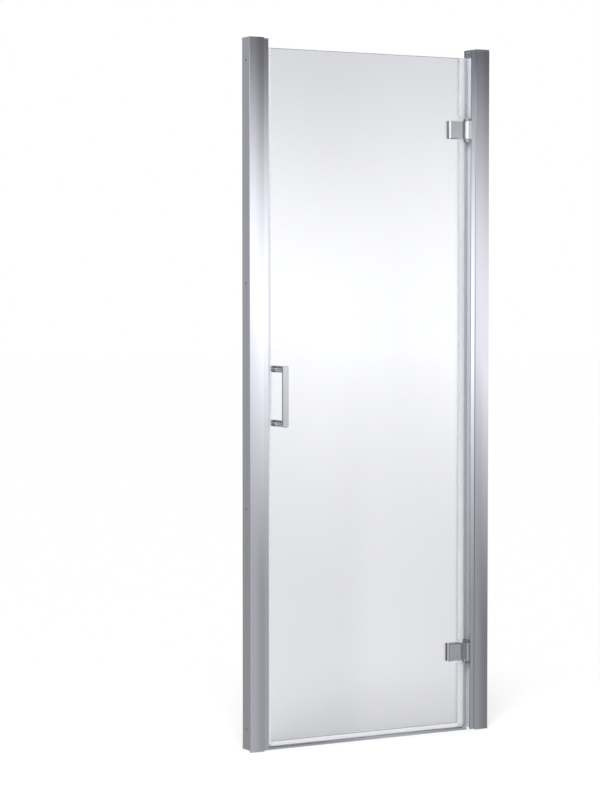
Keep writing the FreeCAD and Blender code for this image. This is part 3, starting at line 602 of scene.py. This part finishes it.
def infill_strip(name, base, roughness, foot):
    """Silver-grey strip that painted shade darkens towards the floor, with a lighter short piece at its
    foot that takes only part of that painted shade.
    """
    made, tree, shader, place = start_material(name)
    skin = use(tree, "Moulded skin", Place=place, Fineness=INFILL_SKIN)
    height = add(tree, "ShaderNodeSeparateXYZ", {0: place}).outputs[2]
    # painted shade, darker towards the floor
    shade = spread(tree, height, *INFILL_PAINTED_SHADE_HEIGHTS, 0.0, 1.0, "LINEAR")
    lighter = spread(tree, height, foot - INFILL_FOOT_BLUR, foot + INFILL_FOOT_BLUR,
                     INFILL_FOOT_LIFT, 0.0)
    shade = calc(tree, "ADD", shade, lighter)
    plain = toned(tree, skin.outputs["Tone"], base, INFILL_TONES)
    plug(tree, shader.inputs["Base Color"], mingle(tree, shade, tone(base, INFILL_PAINTED_SHADE_TONE), plain))
    plug(tree, shader.inputs["Roughness"],
         varied_polish(tree, skin.outputs["Height"], roughness, MOULDED_POLISH))
    bump(tree, shader, skin.outputs["Height"], INFILL_STRENGTH, MOULDED_RELIEF)
    return made


def slot_nodes(slot):
    """Names of the CAD nodes that take one of the record's finishes."""
    return [part["node"] for part in frame["record"]["subparts"] if part["material_slot"] == slot]


def dress(names, material):
    """Gives CAD nodes a finish."""
    for name in names:
        mesh = frame["nodes"][name].data
        mesh.materials.clear()
        mesh.materials.append(material)


class SHOWER_OT_aluminium(bpy.types.Operator):
    """Finish the wall posts, sliding profiles and threshold in polished aluminium"""

    bl_idname = "shower_door.aluminium"
    bl_label = "Finish aluminium"

    def execute(self, context):
        finishes = context.scene.shower_finishes
        for name, base, stretch, nodes in (
            ("polished_aluminium", finishes.aluminium, UPRIGHT, slot_nodes("polished_aluminium")),
            ("polished_aluminium_level", finishes.aluminium, LENGTHWISE, ["threshold_strip"]),
            # painted shade: a darker copy of the aluminium for the hinge-side post
            ("polished_aluminium_painted_shade", finishes.post, UPRIGHT, ["right_wall_post"]),
        ):
            drawn = drawn_metal(name, base, finishes.aluminium_polish, stretch, ALUMINIUM_GRAIN,
                                ALUMINIUM_STRENGTH)
            dress(nodes, drawn)
        casting = moulded("satin_casting", finishes.casting, roughness=0.5, fineness=900.0, strength=0.08,
                          metal=1.0)
        dress(["strike_profile_cap", "hinge_profile_cap"], casting)
        return {"FINISHED"}


class SHOWER_OT_chrome(bpy.types.Operator):
    """Finish the hinges, the handle and the screw covers in chrome"""

    bl_idname = "shower_door.chrome"
    bl_label = "Finish chrome"

    def execute(self, context):
        finishes = context.scene.shower_finishes
        dress(slot_nodes("chrome"), plated_metal("chrome", finishes.chrome, finishes.chrome_polish))
        satin = drawn_metal("satin_chrome", finishes.satin, finishes.satin_polish, UPRIGHT, SATIN_GRAIN,
                            strength=0.1)
        dress(["handle_grip"], satin)
        standoffs = ["handle_lower_standoff", "handle_upper_standoff"]
        boxes = [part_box(name) for name in standoffs]
        levels = [(low.z + high.z) / 2 for low, high in boxes]
        radius = (boxes[0][1].z - boxes[0][0].z) / 2
        round_bar = standoff_metal("standoff_painted_shade", finishes.satin, finishes.satin_polish, levels,
                                   radius)
        dress(standoffs, round_bar)
        groove_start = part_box("upper_hinge_back_plate")[1].x
        # the hinge leaves carry painted shade in the groove and painted light and shade that differ
        # between the two hinges
        leaf = hinge_metal("hinge_painted_light_and_shade", finishes.chrome, finishes.groove, finishes.chrome_polish,
                           finishes.satin_polish, groove_start)
        dress(["upper_hinge_leaf", "lower_hinge_leaf"], leaf)
        # painted shade: a dark copy of chrome on the hinge brackets
        cast = plated_metal("chrome_painted_shade", finishes.cast, finishes.satin_polish)
        dress(["upper_hinge_bracket", "lower_hinge_bracket"], cast)
        return {"FINISHED"}


class SHOWER_OT_glass(bpy.types.Operator):
    """Finish the pane in clear coated glass"""

    bl_idname = "shower_door.glass"
    bl_label = "Finish glass"

    def execute(self, context):
        finishes = context.scene.shower_finishes
        material = pane_glass("clear_glass", finishes.glass, finishes.glass_edge, finishes.glass_shine,
                              finishes.coating_index)
        dress(slot_nodes("clear_glass"), material)
        return {"FINISHED"}


class SHOWER_OT_seals(bpy.types.Operator):
    """Finish the clear seals, the infill strips, the gaskets and the magnets"""

    bl_idname = "shower_door.seals"
    bl_label = "Finish seals"

    def execute(self, context):
        finishes = context.scene.shower_finishes
        fin_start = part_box("glass_panel")[1].x
        leg_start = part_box("hinge_edge_seal_upper")[0].x
        for name, clearness, stretch, nodes in (
            ("clear_seal", SEAL_CLEARNESS, UPRIGHT, slot_nodes("clear_seal")),
            ("clear_seal_level", DRIP_SEAL_CLEARNESS, LENGTHWISE, ["drip_seal"]),
            ("clear_seal_closing", CLOSING_SEAL_CLEARNESS, UPRIGHT, ["strike_seal", "door_edge_seal"]),
        ):
            # each seal material carries the rear leg's painted glow
            clear = soft_clear(name, finishes.seal, finishes.fin, leg_start, fin_start, clearness,
                               stretch)
            dress(nodes, clear)
        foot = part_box("hinge_infill_lower")[1].z
        # the infill strips carry painted shade towards the floor
        infill = infill_strip("grey_infill", finishes.infill, finishes.infill_polish, foot)
        dress(slot_nodes("grey_infill"), infill)
        gasket = moulded("gasket_rubber", finishes.rubber, roughness=0.6, fineness=1500.0, strength=0.2)
        dress(slot_nodes("gasket_rubber"), gasket)
        magnet = moulded("magnet_rubber", finishes.magnet, roughness=0.55, fineness=1200.0, strength=0.15)
        dress(slot_nodes("magnet_rubber"), magnet)
        return {"FINISHED"}


class SHOWER_OT_plastics(bpy.types.Operator):
    """Finish the white feet and ends and the nylon bushes, sleeves and washers"""

    bl_idname = "shower_door.plastics"
    bl_label = "Finish plastics"

    def execute(self, context):
        finishes = context.scene.shower_finishes
        white = moulded("white_plastic", finishes.white, roughness=0.42, fineness=1100.0, strength=0.12)
        dress(slot_nodes("white_plastic"), white)
        nylon = moulded("nylon", finishes.nylon, roughness=0.48, fineness=900.0, strength=0.1)
        dress(slot_nodes("nylon"), nylon)
        return {"FINISHED"}


class SHOWER_OT_steel(bpy.types.Operator):
    """Finish the pins, studs, nuts and plates in stainless steel"""

    bl_idname = "shower_door.steel"
    bl_label = "Finish steel"

    def execute(self, context):
        finishes = context.scene.shower_finishes
        steel = drawn_metal("stainless_steel", finishes.steel, finishes.steel_polish, TURNED, STEEL_GRAIN,
                            strength=0.15)
        dress(slot_nodes("stainless_steel"), steel)
        return {"FINISHED"}


def loop_down(bm, edges, radius_factor, drop):
    """Draws a ring of edges downwards, wider or narrower; returns the new ring's edges."""
    made = bmesh.ops.extrude_edge_only(bm, edges=edges)["geom"]
    verts = [item for item in made if isinstance(item, bmesh.types.BMVert)]
    bmesh.ops.scale(bm, vec=(radius_factor, radius_factor, 1.0), verts=verts)
    bmesh.ops.translate(bm, vec=(0.0, 0.0, -drop), verts=verts)
    return [item for item in made if isinstance(item, bmesh.types.BMEdge)
            and all(vert in verts for vert in item.verts)]


def socket_screw(sizes, head, shank, head_depth, full):
    """Countersunk screw with a hex socket, standing head up with its face at the origin."""
    bm = bmesh.new()
    rim = bmesh.ops.create_circle(bm, segments=HEAD_SIDES, radius=head)["verts"]
    rim_edges = list({edge for vert in rim for edge in vert.link_edges})
    socket = bmesh.ops.create_circle(bm, segments=SOCKET_SIDES, radius=head * sizes.socket_share)["verts"]
    socket_edges = list({edge for vert in socket for edge in vert.link_edges})
    bmesh.ops.bridge_loops(bm, edges=rim_edges + socket_edges)
    floor = loop_down(bm, socket_edges, 1.0, sizes.socket_depth)
    floor = loop_down(bm, floor, SOCKET_FLOOR_WIDTH, sizes.socket_depth * SOCKET_FLOOR_DEPTH)
    bmesh.ops.edgeloop_fill(bm, edges=floor)
    ring = loop_down(bm, rim_edges, shank / head, head_depth)
    tip = shank * TIP_LENGTH
    ring = loop_down(bm, ring, 1.0, full - head_depth - tip)
    ring = loop_down(bm, ring, TIP_WIDTH, tip)
    bmesh.ops.edgeloop_fill(bm, edges=ring)
    bmesh.ops.recalc_face_normals(bm, faces=bm.faces)
    bmesh.ops.bevel(bm, geom=rim_edges, offset=sizes.rim, offset_type="OFFSET", affect="EDGES",
                    segments=RIM_STEPS, profile=0.5, material=-1, clamp_overlap=True)
    return bm


def finish_piece(bm, name, body, slot, node):
    """Turns a finished bmesh into a piece that stands for a CAD node and moves with its body."""
    mesh = bpy.data.meshes.new(name)
    bm.to_mesh(mesh)
    bm.free()
    mesh.materials.append(bpy.data.materials[slot + "_finish"])
    mesh.shade_smooth()
    mesh.set_sharp_from_angle(angle=SHARP_ANGLE)
    piece = bpy.data.objects.new(name, mesh)
    bpy.context.scene.collection.objects.link(piece)
    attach(piece, body)
    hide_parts(node)
    return piece


def copies(source, turn, places):
    """One bmesh that holds a turned copy of the source at each place."""
    whole = bmesh.new()
    mesh = bpy.data.meshes.new("pattern")
    for place in places:
        source.to_mesh(mesh)
        mesh.transform(Matrix.Translation(place) @ turn)
        whole.from_mesh(mesh)
    source.free()
    bpy.data.meshes.remove(mesh)
    return whole


class SHOWER_OT_clamp_bolts(bpy.types.Operator):
    """Make the countersunk bolts that clamp the hinge plates on the glass"""

    bl_idname = "shower_door.clamp_bolts"
    bl_label = "Make clamp bolts"

    def execute(self, context):
        sizes = context.scene.shower_fastenings
        for level in ("upper", "lower"):
            node = level + "_clamp_bolts"
            low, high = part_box(node)
            head = (high.x - low.x) / 2
            middle = (high.x + low.x) / 2
            bolt = socket_screw(sizes, head, sizes.bolt_shank, sizes.bolt_head_depth, high.y - low.y)
            places = [Vector((middle, high.y, z)) for z in (low.z + head, high.z - head)]
            pair = copies(bolt, Matrix.Rotation(LAID_BACK, 4, "X"), places)
            finish_piece(pair, level + "_socket_bolts", "door", "stainless_steel", node)
        return {"FINISHED"}


class SHOWER_OT_bracket_screws(bpy.types.Operator):
    """Make the countersunk screws that hold the hinge brackets in the profile"""

    bl_idname = "shower_door.bracket_screws"
    bl_label = "Make bracket screws"

    def execute(self, context):
        sizes = context.scene.shower_fastenings
        for level in ("upper", "lower"):
            node = level + "_bracket_screws"
            low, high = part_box(node)
            head = (high.y - low.y) / 2
            middle = (high.y + low.y) / 2
            screw = socket_screw(sizes, head, sizes.screw_shank, sizes.screw_head_depth, high.x - low.x)
            places = [Vector((low.x, middle, z)) for z in (low.z + head, high.z - head)]
            pair = copies(screw, Matrix.Rotation(LAID_BACK, 4, "Y"), places)
            finish_piece(pair, level + "_socket_screws", "frame", "stainless_steel", node)
        return {"FINISHED"}


def stage_piece(bm, name, material):
    """Turns a bmesh into a piece of the studio."""
    mesh = bpy.data.meshes.new(name)
    bm.to_mesh(mesh)
    bm.free()
    mesh.materials.append(material)
    piece = bpy.data.objects.new(name, mesh)
    bpy.context.scene.collection.objects.link(piece)
    return piece


def empty_material(name):
    """New material with only its output; returns it with its tree and output."""
    made = bpy.data.materials.new(name)
    made.use_nodes = True
    made.node_tree.nodes.clear()
    return made, made.node_tree, made.node_tree.nodes.new("ShaderNodeOutputMaterial")


def make_floor(studio):
    """Pale floor that takes the object's shadow and fades out into the white background."""
    material, tree, output = empty_material("pale_floor")
    material.cycles.emission_sampling = "NONE"
    place = tree.nodes.new("ShaderNodeTexCoord").outputs["Object"]
    away = add(tree, "ShaderNodeVectorMath", {0: place}, operation="LENGTH").outputs["Value"]
    fade = spread(tree, away, studio.fade_start, studio.fade_end, 0.0, studio.fade_share)
    pale = add(tree, "ShaderNodeBsdfDiffuse", {"Color": tone(studio.floor_colour, 1.0)})
    path = tree.nodes.new("ShaderNodeLightPath").outputs
    seen = calc(tree, "MAXIMUM", path["Is Camera Ray"], path["Is Transmission Ray"])
    white = add(tree, "ShaderNodeEmission",
                {"Strength": spread(tree, seen, 0.0, 1.0, studio.ambient, 1.0, "LINEAR")})
    mixed = add(tree, "ShaderNodeMixShader", {0: fade, 1: pale.outputs[0], 2: white.outputs[0]})
    tree.links.new(mixed.outputs[0], output.inputs["Surface"])
    bm = bmesh.new()
    bmesh.ops.create_circle(bm, cap_ends=True, segments=FLOOR_SIDES, radius=studio.floor_radius)
    floor = stage_piece(bm, "floor", material)
    floor.visible_glossy = False


def turn_from(tree, bearing, middle):
    """Angle between a bearing and a middle one, whichever way round."""
    off = calc(tree, "SUBTRACT", bearing, middle)
    return calc(tree, "ABSOLUTE", calc(tree, "WRAP", off, math.pi, -math.pi))


def sector(tree, bearing, middle, half_width, edge):
    """Mask of the part of the tent round one bearing, in degrees from straight in front of the door."""
    off = turn_from(tree, bearing, math.radians(middle))
    return spread(tree, off, math.radians(half_width), math.radians(half_width + edge), 1.0, 0.0)


def shine(tree, output, level):
    """Makes a surface of the studio glow."""
    glow = add(tree, "ShaderNodeEmission", {"Strength": level})
    tree.links.new(glow.outputs[0], output.inputs["Surface"])


def rear_level(tree, studio, bearing, height):
    """Dark panels behind the door with a soft band at half height."""
    off = turn_from(tree, bearing, math.pi)
    top = spread(tree, off, *REAR_TURN, *REAR_TOP)
    end = spread(tree, off, *REAR_TURN, *REAR_END)
    rise = spread(tree, height, *REAR_CLIMB, 0.0, 1.0)
    fall = spread(tree, height, top, end, 1.0, 0.0)
    gap = spread(tree, sector(tree, bearing, *REAR_GAP_SECTOR), 0.0, 1.0, 1.0, 0.0)
    gap = calc(tree, "MULTIPLY", gap, spread(tree, off, *REAR_SIDES, 1.0, 0.0))
    band = calc(tree, "MULTIPLY", calc(tree, "MULTIPLY", rise, fall), gap)
    return between(tree, band, studio.shade_level, studio.rear_peak)


def tent_material(studio):
    """Soft light of the tent: a slanted bright band at eye level, dim above and grey below."""
    material, tree, output = empty_material("light_tent")
    material.cycles.emission_sampling = "NONE"
    place = tree.nodes.new("ShaderNodeTexCoord").outputs["Object"]
    across, depth, height = add(tree, "ShaderNodeSeparateXYZ", {0: place}).outputs[0:3]
    bearing = calc(tree, "ARCTAN2", across, calc(tree, "MULTIPLY", depth, -1.0))
    ahead = spread(tree, bearing, *SLANTED, *SLANTED, "LINEAR")
    beside = spread(tree, bearing, *HINGE_SIDE, 0.0, 1.0)
    low = calc(tree, "MULTIPLY_ADD", ahead, LOW_EDGE_SLANT, studio.band_low)
    low = calc(tree, "MULTIPLY_ADD", beside, LOW_EDGE_STEP, low)
    high = calc(tree, "MULTIPLY_ADD", ahead, HIGH_EDGE_SLANT, studio.band_high)
    high = calc(tree, "MULTIPLY_ADD", beside, HIGH_EDGE_STEP, high)
    for change in (STRIKE_RAISE, HINGE_RAISE):
        high = calc(tree, "ADD", high, spread(tree, bearing, *change))
    dim = high
    for change in (FADE_LENGTH, FADE_EXTRA):
        dim = calc(tree, "ADD", dim, spread(tree, bearing, *change))
    base = spread(tree, bearing, *BASE_FALL, studio.base_level, studio.base_level * BASE_FALL_SHARE,
                  "LINEAR")
    base = calc(tree, "MULTIPLY", base, spread(tree, bearing, *BASE_DIMMING))
    lift = calc(tree, "SUBTRACT", spread(tree, bearing, *BASE_LIFT), spread(tree, bearing, *BASE_DROP))
    base = calc(tree, "MULTIPLY", base, lift)
    peak = between(tree, beside, studio.band_level, studio.band_level * PEAK_SIDE_SHARE)
    peak = calc(tree, "MULTIPLY", peak, spread(tree, bearing, *PEAK_LIFT))
    facing = sector(tree, bearing, *FACING_SECTOR)
    peak = calc(tree, "MULTIPLY", peak, spread(tree, facing, 0.0, 1.0, 1.0, FACING_SHARE, "LINEAR"))
    climb = spread(tree, height, calc(tree, "SUBTRACT", low, CLIMB_HEIGHT), low, 0.0, 1.0, "LINEAR")
    steep = calc(tree, "SUBTRACT", spread(tree, bearing, *CLIMB_POWER),
                 spread(tree, bearing, *CLIMB_EASE))
    level = between(tree, calc(tree, "POWER", climb, steep), base, peak)
    fade = spread(tree, height, high, dim, 1.0, studio.roof_level)
    level = calc(tree, "MULTIPLY", level, fade)
    left_back = spread(tree, bearing, *LEFT_BACK, 1.0, 0.0)
    right_back = spread(tree, bearing, *RIGHT_BACK, 0.0, 1.0)
    rear = rear_level(tree, studio, bearing, height)
    level = between(tree, calc(tree, "MAXIMUM", left_back, right_back), level, rear)
    flag = calc(tree, "MULTIPLY", spread(tree, height, *FLAG_SHADING), studio.flag_level)
    level = between(tree, sector(tree, bearing, *FLAG_SECTOR), level, flag)
    shine(tree, output, level)
    return material


def plain_glow(name, level):
    """Even glow of the tent's roof or base."""
    material, tree, output = empty_material(name)
    material.cycles.emission_sampling = "NONE"
    shine(tree, output, level)
    return material


def mirror_only(piece):
    """Leaves a studio piece to be seen in reflections alone."""
    piece.visible_camera = False
    piece.visible_diffuse = False
    piece.visible_transmission = False
    piece.visible_volume_scatter = False
    piece.visible_shadow = False


def make_tent(studio):
    """Round tent with a roof and a base that the bright metal and the glass mirror."""
    tall = studio.tent_top - studio.tent_bottom
    bm = bmesh.new()
    bmesh.ops.create_cone(bm, cap_ends=False, segments=TENT_SIDES, radius1=studio.tent_radius,
                          radius2=studio.tent_radius, depth=tall)
    bmesh.ops.translate(bm, vec=(0.0, 0.0, (studio.tent_top + studio.tent_bottom) / 2), verts=bm.verts)
    mirror_only(stage_piece(bm, "tent_wall", tent_material(studio)))
    for name, height, level in (("tent_roof", studio.tent_top, studio.roof_level),
                                ("tent_base", studio.tent_bottom, studio.base_level)):
        bm = bmesh.new()
        bmesh.ops.create_circle(bm, cap_ends=True, segments=TENT_SIDES, radius=studio.tent_radius)
        bmesh.ops.translate(bm, vec=(0.0, 0.0, height), verts=bm.verts)
        mirror_only(stage_piece(bm, name, plain_glow(name, level)))


def make_world(scene, studio):
    """Even light, and plain white where the background is seen, mirrored or looked at through glass."""
    world = bpy.data.worlds.new("white_room")
    world.use_nodes = True
    scene.world = world
    tree = world.node_tree
    path = tree.nodes.new("ShaderNodeLightPath").outputs
    seen = calc(tree, "MAXIMUM", path["Is Camera Ray"], path["Is Glossy Ray"])
    seen = calc(tree, "MAXIMUM", seen, path["Is Transmission Ray"])
    back = tree.nodes["Background"]
    back.inputs["Color"].default_value = (1.0, 1.0, 1.0, 1.0)
    tree.links.new(spread(tree, seen, 0.0, 1.0, studio.ambient, 1.0, "LINEAR"), back.inputs["Strength"])


def make_lamp(scene, studio):
    """Wide soft lamp from the front left."""
    light = bpy.data.lights.new("soft_lamp", "AREA")
    light.shape = "DISK"
    light.size = studio.lamp_size
    light.energy = studio.lamp_power
    lamp = bpy.data.objects.new("soft_lamp", light)
    place = Vector(studio.lamp_place)
    aim = Vector(studio.lamp_aim) - place
    lamp.matrix_world = Matrix.Translation(place) @ aim.to_track_quat("-Z", "Y").to_matrix().to_4x4()
    lamp.visible_glossy = False
    scene.collection.objects.link(lamp)


def make_camera(scene, studio):
    """Camera at the photograph's place and angle."""
    camera = bpy.data.cameras.new("camera")
    camera.lens = studio.lens
    camera.sensor_width = SENSOR_WIDTH
    camera.sensor_fit = "AUTO"
    camera.clip_end = CAMERA_REACH
    stand = bpy.data.objects.new("camera", camera)
    stand.location = studio.camera_place
    stand.rotation_euler = (math.pi / 2 - studio.camera_tilt, 0.0, -studio.camera_turn)
    scene.collection.objects.link(stand)
    scene.camera = stand


class SHOWER_OT_studio(bpy.types.Operator):
    """Set up the floor, the light tent, the lamp, the white background and the camera"""

    bl_idname = "shower_door.studio"
    bl_label = "Set up studio"

    def execute(self, context):
        scene = context.scene
        studio = scene.shower_studio
        scene.view_settings.view_transform = "Standard"
        make_floor(studio)
        make_tent(studio)
        make_world(scene, studio)
        make_lamp(scene, studio)
        make_camera(scene, studio)
        return {"FINISHED"}


OPERATORS = (
    SHOWER_OT_aluminium,
    SHOWER_OT_chrome,
    SHOWER_OT_glass,
    SHOWER_OT_seals,
    SHOWER_OT_plastics,
    SHOWER_OT_steel,
    SHOWER_OT_clamp_bolts,
    SHOWER_OT_bracket_screws,
    SHOWER_OT_studio,
)


class SHOWER_PT_panel(bpy.types.Panel):
    """Sizes, colours and steps of the shower door"""

    bl_idname = "SHOWER_PT_panel"
    bl_label = "Shower door"
    bl_space_type = "VIEW_3D"
    bl_region_type = "UI"
    bl_category = "Shower door"

    def draw(self, context):
        for settings in (context.scene.shower_finishes, context.scene.shower_fastenings,
                         context.scene.shower_studio):
            box = self.layout.box()
            for name in settings.__annotations__:
                box.prop(settings, name)
        for operator in OPERATORS:
            self.layout.operator(operator.bl_idname)


CLASSES = (ShowerDoorFinishes, ShowerDoorFastenings, ShowerDoorStudio) + OPERATORS + (SHOWER_PT_panel,)


def register():
    """Adds the settings, the operators and the panel."""
    for item in CLASSES:
        bpy.utils.register_class(item)
    bpy.types.Scene.shower_finishes = PointerProperty(type=ShowerDoorFinishes)
    bpy.types.Scene.shower_fastenings = PointerProperty(type=ShowerDoorFastenings)
    bpy.types.Scene.shower_studio = PointerProperty(type=ShowerDoorStudio)


def unregister():
    """Takes the settings, the operators and the panel away."""
    del bpy.types.Scene.shower_studio
    del bpy.types.Scene.shower_fastenings
    del bpy.types.Scene.shower_finishes
    for item in reversed(CLASSES):
        bpy.utils.unregister_class(item)


def main():
    """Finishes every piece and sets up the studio."""
    register()
    make_effects()
    bpy.ops.shower_door.aluminium()
    bpy.ops.shower_door.chrome()
    bpy.ops.shower_door.glass()
    bpy.ops.shower_door.seals()
    bpy.ops.shower_door.plastics()
    bpy.ops.shower_door.steel()
    bpy.ops.shower_door.clamp_bolts()
    bpy.ops.shower_door.bracket_screws()
    bpy.ops.shower_door.studio()


if __name__ == "__main__":
    main()
